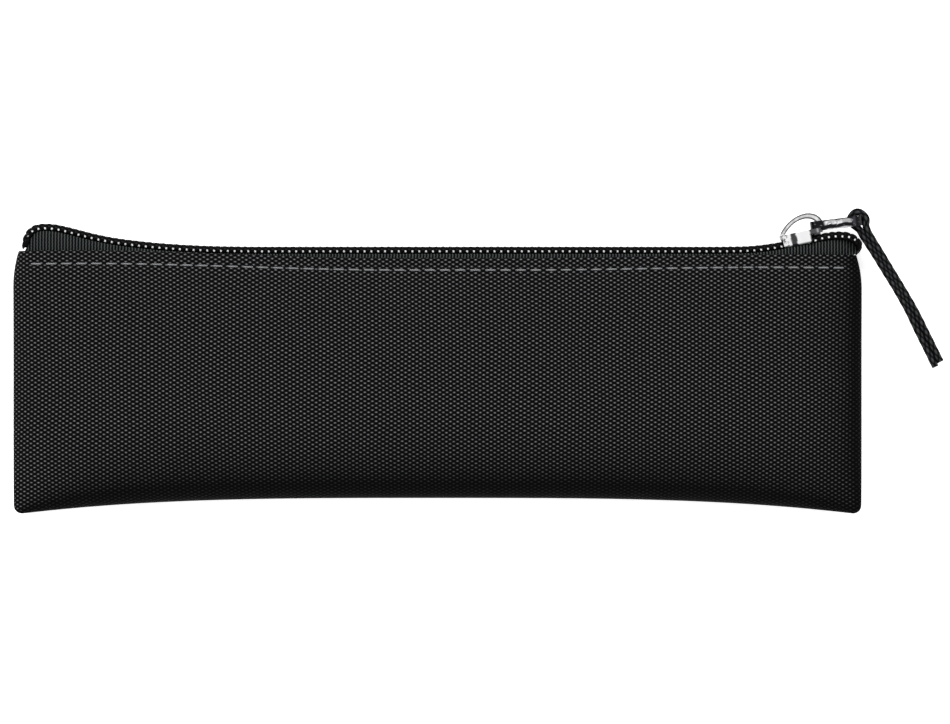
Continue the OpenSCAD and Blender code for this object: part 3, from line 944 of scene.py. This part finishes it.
def woven_cloth():
    """Black plain weave. The product of two cosines gives a chequer of thread tops with a painted sheen,
    joined by dimmer threads round black holes; slow noise sways the rows and makes some tops brighter.
    Painted shade darkens the cloth where it faces right or downwards, away from the lamps."""
    look = bpy.context.scene.pouch_look
    finish = Finish("Woven black canvas", specular_ior_level=0.02)
    u, v = finish.threads()
    sway = finish.noise(0.05, 2.0) - 0.5
    a = (u + sway * 1.2) / (2 * look.thread_across)
    b = (v + sway * 0.7) / (2 * look.thread_down)
    height = a.wave() * b.wave() * 0.5 + 0.5
    uneven = finish.noise(1.0, 2.0, vector=finish.vector(a * 1.7, b * 2.3))
    # Painted shade: full where the cloth faces the camera and the top left, down to 0.08 where it faces
    # right or downwards
    painted_edge_shade = 0.08 + finish.facing((-0.35, 0.4, 0.85)).step(0.5, 0.88) * 0.92
    # The thread tops' painted sheen, dimmed by the painted shade
    painted_sheen_and_shade = (height ** 6) * (0.3 + uneven * 1.4) * painted_edge_shade
    finish.colour(finish.blend(painted_sheen_and_shade, look.cloth_gap[:], look.cloth_top_sheen[:]))
    finish.rough(0.8 - height * 0.3)
    finish.bump(height + finish.noise(4.0, 2.0) * 0.1, 0.1)
    return finish.material


def binding_cloth():
    """Black binding tape with fine cross ribs."""
    finish = Finish("Ribbed binding", specular_ior_level=0.08)
    u, v = finish.threads()
    height = weave_height(u, v, 0.4, 0.3)
    finish.colour(finish.blend(height, (0.006, 0.006, 0.007), (0.05, 0.05, 0.054)))
    finish.rough(0.85 - height * 0.2)
    finish.bump(height, 0.08)
    return finish.material


def zip_tape_cloth():
    """Zip tape: ribs square to the chain with the fine twill between them, black with a green cast."""
    finish = Finish("Ribbed zip tape", specular_ior_level=0.02)
    u, v = finish.threads()
    rib = ((u + (v / 0.9).wave() * 0.03) / 0.72).wave() * 0.5 + 0.5
    fine = weave_height(u, v, 0.28, 0.35)
    height = rib * 0.85 + fine * 0.15
    finish.colour(finish.blend(height ** 3, (0.001, 0.001, 0.001), (0.075, 0.083, 0.083)))
    finish.rough(0.85 - height * 0.25)
    finish.bump(height, 0.1)
    return finish.material


def coil_nylon():
    """Glossy black nylon wire: fine draw marks, a little haze, and a small painted highlight in the colour
    in the middle of every back bend, but for the loops at the very ends."""
    finish = Finish("Coil nylon", specular_ior_level=0.03)
    haze = finish.noise(0.8, 3.0)
    loop, turn = finish.threads()
    middle = (loop.part() - 0.5).size()
    ends = loop.step(0.3, 0.6) * (1 - loop.step(COIL_LOOPS - 1.6, COIL_LOOPS - 1.3))
    # Painted highlight: white where the wire faces almost straight up, in the middle of each back bend
    painted_glint_spot = finish.facing((-0.08, -0.2, 0.97)).step(0.95, 0.99) * (1 - middle.step(0.08, 0.16))
    painted_glint = painted_glint_spot * ends * (0.5 + haze)
    finish.colour(finish.blend(painted_glint.math("MINIMUM", 1), (0.002, 0.002, 0.002), (0.8, 0.8, 0.82)))
    finish.rough(0.14 + haze * 0.12)
    finish.bump(finish.noise(6.0, 2.0), 0.01)
    return finish.material


def filler_thread():
    """The filler cord's dull twisted yarn."""
    finish = Finish("Filler yarn", specular_ior_level=0.05)
    fibre = finish.noise(3.0, 3.0)
    finish.colour(finish.blend(fibre, (0.001, 0.001, 0.001), (0.008, 0.008, 0.009)))
    finish.rough(0.8 + fibre * 0.15)
    finish.bump(fibre, 0.08)
    return finish.material


def stitch_thread():
    """Grey sewing thread with its ply as slanting ridges."""
    look = bpy.context.scene.pouch_look
    finish = Finish("Topstitch thread", specular_ior_level=0.15)
    parts = finish.node("ShaderNodeSeparateXYZ", None, {0: finish.place()})
    x = Value(finish, parts.outputs[0]) / MM
    y = Value(finish, parts.outputs[1]) / MM
    ply = ((x * 1.7 + y * 2.4).wave()) * 0.5 + 0.5
    finish.colour(finish.blend(ply * 0.5 + 0.5, (0.02, 0.02, 0.022), look.stitch_colour[:]))
    finish.rough(0.65 - ply * 0.2)
    finish.bump(ply, 0.05)
    return finish.material


def polished_nickel(finish, painted_reflection):
    """Bright plated metal with its reflections painted into the colour: painted_reflection runs from the
    dark to the light parts of what its front mirrors. Its rounded edges get a darker painted reflection,
    and its sides an even painted grey."""
    look = bpy.context.scene.pouch_look
    marks = finish.noise(1.2, 4.0, 0.6)
    front = finish.facing((0, 0, 1)).size()
    # Painted reflection: darker on rounded edges turned from the camera, an even painted grey on the sides
    side = 1 - front.step(0.02, 0.15)
    painted_reflection = painted_reflection * (0.35 + front.step(0.3, 0.96) * 0.65) * (1 - side) + side * (0.35 + marks * 0.4)
    finish.colour(finish.blend(painted_reflection, (0.012, 0.012, 0.014), look.metal_colour[:]))
    finish.rough(0.12 + marks * 0.12)
    finish.bump(marks, 0.006)
    return finish.material


def slider_nickel():
    """The slider's plating, with its reflections painted into the colour: mottled at the closed end, a dark
    reflection, then a clear light stretch, and a crown with a light middle and dark outlines."""
    finish = Finish("Slider nickel", metallic=1.0)
    along, out = local_axes(SLIDER_TURN)
    place = finish.reach(SLIDER_MIDDLE, along)
    x = place + (finish.noise(0.8, 2.0) - 0.5) * 1.1
    y = finish.reach(SLIDER_MIDDLE, out)
    # Painted reflections along the slider: a dark band, dark blotches at the closed end, a dark far end and
    # a dark lower edge
    dark = x.step(-2.9, -2.5) * (1 - x.step(-1.6, -1.1))
    mottle = finish.noise(1.3, 3.0, 0.7).step(0.46, 0.58) * (1 - x.step(-3.4, -3.0))
    end = x.step(1.6, 2.0)
    painted_dark_edge = 1 - y.step(-0.7, -0.3)
    body = 1 - (dark * 0.95 + mottle * 0.75 + end * 0.92 + painted_dark_edge * 0.9).math("MINIMUM", 1)
    arm = np.subtract(CROWN_MIDDLE, SLIDER_MIDDLE)
    lean = (y - CROWN_FROM).math("MAXIMUM", 0) * CROWN_LEAN
    square = (place - lean - float(arm @ along)) ** 2 + (y - float(arm @ out)) ** 2
    # Painted reflection on the crown: a light middle with dark outlines
    outline = ((square ** 0.5) - CROWN_R).size().step(0.15, 0.42)
    crown = (0.55 + finish.noise(0.5, 2.0).step(0.35, 0.65) * 0.4) * (1 - outline * 0.9)
    share = y.step(2.3, 2.8)
    return polished_nickel(finish, body * (1 - share) + crown * share)


def link_nickel():
    """The link's plating, with its reflections painted into the colour: a light band at the top with a few
    painted flares, over a dark band with a thin painted highlight along its lower edge.
    """
    finish = Finish("Link nickel", metallic=1.0)
    along, over = local_axes(LINK_TURN)
    x = finish.reach(LINK_EYE, along)
    y = finish.reach(LINK_EYE, over) + (finish.noise(0.35, 1.0) - 0.5) * 0.9
    # Painted reflections: a light band with painted flares over a dark band, and a painted highlight along
    # the lower edge
    shown = x.step(0.6, 1.4) * (1 - x.step(6.8, 7.6))
    painted_light_band = y.step(-0.35, -0.05) * (1 - y.step(0.55, 0.8))
    painted_light_band = painted_light_band * (0.5 + finish.noise(0.7, 2.0).step(0.4, 0.6) * 0.5)
    painted_flare = finish.noise(1.0, 1.0, vector=finish.vector(x * 0.7, y * 2.0)).step(0.64, 0.7) * 0.6
    painted_lit_rim = 1 - y.step(-1.25, -1.05)
    painted_reflection = (painted_light_band + painted_lit_rim * 0.6) * shown + painted_flare * (0.3 + shown * 0.7)
    return polished_nickel(finish, painted_reflection.math("MINIMUM", 1))


def braided_cord():
    """Black braid: strands that cross in opposite spirals, with dark gaps, a soft sheen, and painted shade
    on the cord's sides.
    """
    look = bpy.context.scene.pouch_look
    finish = Finish("Braided cord", specular_ior_level=0.03)
    run, turn = finish.threads()
    half = BRAID_STRANDS / 2
    one = turn * half - run * (half / 2 / BRAID_PITCH)
    other = turn * half + run * (half / 2 / BRAID_PITCH)
    crossing = (one / 2).wave().size() * (other / 2).wave().size()
    fibre = finish.noise(2.5, 3.0)
    # Painted shade: the cord's sides, facing sideways, are darkened, while its top stays light
    painted_light_from_above = finish.facing((0, 0, 1)).size().step(0.35, 0.95)
    shade = (crossing ** 1.5) * (0.4 + fibre * 1.1) * (0.15 + painted_light_from_above * 0.85)
    finish.colour(finish.blend(shade, (0.001, 0.001, 0.0012), look.cord_colour[:]))
    finish.rough(0.8 - crossing * 0.25)
    finish.bump(crossing + fibre * 0.2, 0.1)
    return finish.material


# Stage

PHOTO_W = 950
MM_PER_PIXEL = 0.2345
PHOTO_MIDDLE = (8.79, 2.93)
CAMERA_HEIGHT = 1200.0


def studio_floor():
    """A pale floor that the camera and the metal see as white. It keeps the object's soft shadow."""
    finish = Finish("Studio floor", roughness=0.9, specular_ior_level=0.1, emission_strength=1.0)
    rays = finish.node("ShaderNodeLightPath")
    seen = Value(finish, rays.outputs["Is Camera Ray"]) + Value(finish, rays.outputs["Is Glossy Ray"])
    seen = seen.math("MINIMUM", 1)
    grain = finish.noise(0.02, 2.0)
    finish.colour(finish.blend(seen * (0.97 + grain * 0.03), (0.8, 0.8, 0.8), (1.0, 1.0, 1.0)))
    glow = finish.blend(seen, (0, 0, 0), (0.6, 0.6, 0.6))
    finish.tree.links.new(glow, finish.surface.inputs["Emission Color"])
    return finish.material


def make_stage():
    """The floor, the camera straight above, the world and three soft lamps."""
    scene = bpy.context.scene
    half = 1.6
    mesh = bpy.data.meshes.new("studio_floor")
    mesh.from_pydata(
        [(-half, -half, -0.0002), (half, -half, -0.0002), (half, half, -0.0002), (-half, half, -0.0002)],
        [], [(0, 1, 2, 3)],
    )
    mesh.materials.append(studio_floor())
    floor = bpy.data.objects.new("studio_floor", mesh)
    scene.collection.objects.link(floor)

    lens = bpy.data.cameras.new("photo_camera")
    lens.sensor_width = 36
    lens.lens = 36 * (CAMERA_HEIGHT - ZIP_Z) / (PHOTO_W * MM_PER_PIXEL)
    lens.clip_end = 10
    camera = bpy.data.objects.new("photo_camera", lens)
    camera.location = (PHOTO_MIDDLE[0] * MM, PHOTO_MIDDLE[1] * MM, CAMERA_HEIGHT * MM)
    scene.collection.objects.link(camera)
    scene.camera = camera

    world = bpy.data.worlds.new("studio_world")
    world.use_nodes = True
    tree = world.node_tree
    back = tree.nodes["Background"]
    rays = tree.nodes.new("ShaderNodeLightPath")
    level = tree.nodes.new("ShaderNodeMapRange")
    level.inputs["To Min"].default_value = WORLD_LIGHT
    level.inputs["To Max"].default_value = 1.0
    either = tree.nodes.new("ShaderNodeMath")
    either.operation = "MAXIMUM"
    shown = tree.nodes.new("ShaderNodeMath")
    shown.operation = "MAXIMUM"
    tree.links.new(rays.outputs["Is Camera Ray"], either.inputs[0])
    tree.links.new(rays.outputs["Is Transmission Ray"], either.inputs[1])
    tree.links.new(either.outputs[0], shown.inputs[0])
    tree.links.new(rays.outputs["Is Glossy Ray"], shown.inputs[1])
    tree.links.new(shown.outputs[0], level.inputs["Value"])
    tree.links.new(level.outputs["Result"], back.inputs["Strength"])
    back.inputs["Color"].default_value = (1, 1, 1, 1)
    scene.world = world

    for name, place, size, power in LAMPS:
        lamp = bpy.data.lights.new(name, "AREA")
        lamp.shape = "RECTANGLE"
        lamp.size, lamp.size_y = size
        lamp.energy = power
        item = bpy.data.objects.new(name, lamp)
        item.location = place
        aim = -np.array(place) / np.linalg.norm(place)
        turn = math.atan2(aim[1], aim[0])
        item.rotation_euler = (0, math.acos(-aim[2]), turn + math.pi)
        scene.collection.objects.link(item)
    scene.view_settings.view_transform = "Standard"


WORLD_LIGHT = 0.5
LAMPS = [
    ("key_lamp", (-0.55, 0.75, 1.1), (0.7, 0.7), 14),
    ("fill_lamp", (0.9, 0.35, 0.9), (0.6, 0.8), 5),
    ("low_lamp", (0.1, -1.1, 0.7), (0.9, 0.4), 4),
]


# The add-on's settings, operators and panel


class PouchLook(bpy.types.PropertyGroup):
    """Sizes and colours that a user would change."""

    thread_across: bpy.props.FloatProperty(
        name="Warp spacing", description="Distance between warp threads, in millimetres", default=0.87,
        min=0.2, max=1.5)
    thread_down: bpy.props.FloatProperty(
        name="Weft spacing", description="Distance between weft threads, in millimetres", default=0.52,
        min=0.2, max=1.5)
    cloth_gap: bpy.props.FloatVectorProperty(
        name="Cloth gaps", description="Colour between the cloth's threads", subtype="COLOR",
        default=(0.001, 0.001, 0.001), min=0, max=1)
    # The raised threads' colour is a painted sheen on the black cloth
    cloth_top_sheen: bpy.props.FloatVectorProperty(
        name="Cloth threads", description="Colour of the cloth's raised threads", subtype="COLOR",
        default=(0.2, 0.2, 0.21), min=0, max=1)
    stitch_colour: bpy.props.FloatVectorProperty(
        name="Topstitch", description="Colour of the topstitch thread", subtype="COLOR",
        default=(0.26, 0.265, 0.27), min=0, max=1)
    metal_colour: bpy.props.FloatVectorProperty(
        name="Metal", description="Colour of the slider and the link", subtype="COLOR",
        default=(0.86, 0.86, 0.87), min=0, max=1)
    cord_colour: bpy.props.FloatVectorProperty(
        name="Cord", description="Colour of the braid's raised strands", subtype="COLOR",
        default=(0.055, 0.057, 0.06), min=0, max=1)


class POUCH_OT_stage(bpy.types.Operator):
    """Makes the floor, the camera, the world and the lamps"""

    bl_idname = "pouch.stage"
    bl_label = "Stage"

    def execute(self, context):
        make_stage()
        return {"FINISHED"}


class POUCH_OT_cord(bpy.types.Operator):
    """Makes the braided pull cord"""

    bl_idname = "pouch.cord"
    bl_label = "Pull cord"

    def execute(self, context):
        make_cord()
        return {"FINISHED"}


class POUCH_OT_panels(bpy.types.Operator):
    """Makes the front and back panels of woven cloth"""

    bl_idname = "pouch.panels"
    bl_label = "Cloth panels"

    def execute(self, context):
        make_panels()
        return {"FINISHED"}


class POUCH_OT_zip(bpy.types.Operator):
    """Makes the zip's tapes, coils and filler cords"""

    bl_idname = "pouch.zip"
    bl_label = "Zip chain"

    def execute(self, context):
        make_zip()
        return {"FINISHED"}


class POUCH_OT_stitches(bpy.types.Operator):
    """Makes both rows of topstitches"""

    bl_idname = "pouch.stitches"
    bl_label = "Topstitches"

    def execute(self, context):
        make_stitches()
        return {"FINISHED"}


class POUCH_OT_bindings(bpy.types.Operator):
    """Makes the bindings inside the side seams"""

    bl_idname = "pouch.bindings"
    bl_label = "Seam bindings"

    def execute(self, context):
        make_bindings()
        return {"FINISHED"}


class POUCH_OT_metal(bpy.types.Operator):
    """Makes the slider and the pull link"""

    bl_idname = "pouch.metal"
    bl_label = "Slider and link"

    def execute(self, context):
        make_metal()
        return {"FINISHED"}


OPERATORS = [
    POUCH_OT_stage, POUCH_OT_cord, POUCH_OT_panels, POUCH_OT_zip, POUCH_OT_stitches,
    POUCH_OT_bindings, POUCH_OT_metal,
]


class POUCH_PT_sidebar(bpy.types.Panel):
    """Lists the pouch's settings and pieces"""

    bl_idname = "POUCH_PT_sidebar"
    bl_label = "Zip pencil pouch"
    bl_space_type = "VIEW_3D"
    bl_region_type = "UI"
    bl_category = "Pouch"

    def draw(self, context):
        look = context.scene.pouch_look
        for label in PouchLook.__annotations__:
            self.layout.prop(look, label)
        for operator in OPERATORS:
            self.layout.operator(operator.bl_idname)


def register():
    """Adds the settings, operators and panel."""
    for item in (PouchLook, *OPERATORS, POUCH_PT_sidebar):
        bpy.utils.register_class(item)
    bpy.types.Scene.pouch_look = bpy.props.PointerProperty(type=PouchLook)


def unregister():
    """Removes them again."""
    del bpy.types.Scene.pouch_look
    for item in reversed((PouchLook, *OPERATORS, POUCH_PT_sidebar)):
        bpy.utils.unregister_class(item)


def main():
    """Builds the whole pouch."""
    register()
    for operator in OPERATORS:
        group, name = operator.bl_idname.split(".")
        getattr(getattr(bpy.ops, group), name)()


if __name__ == "__main__":
    main()
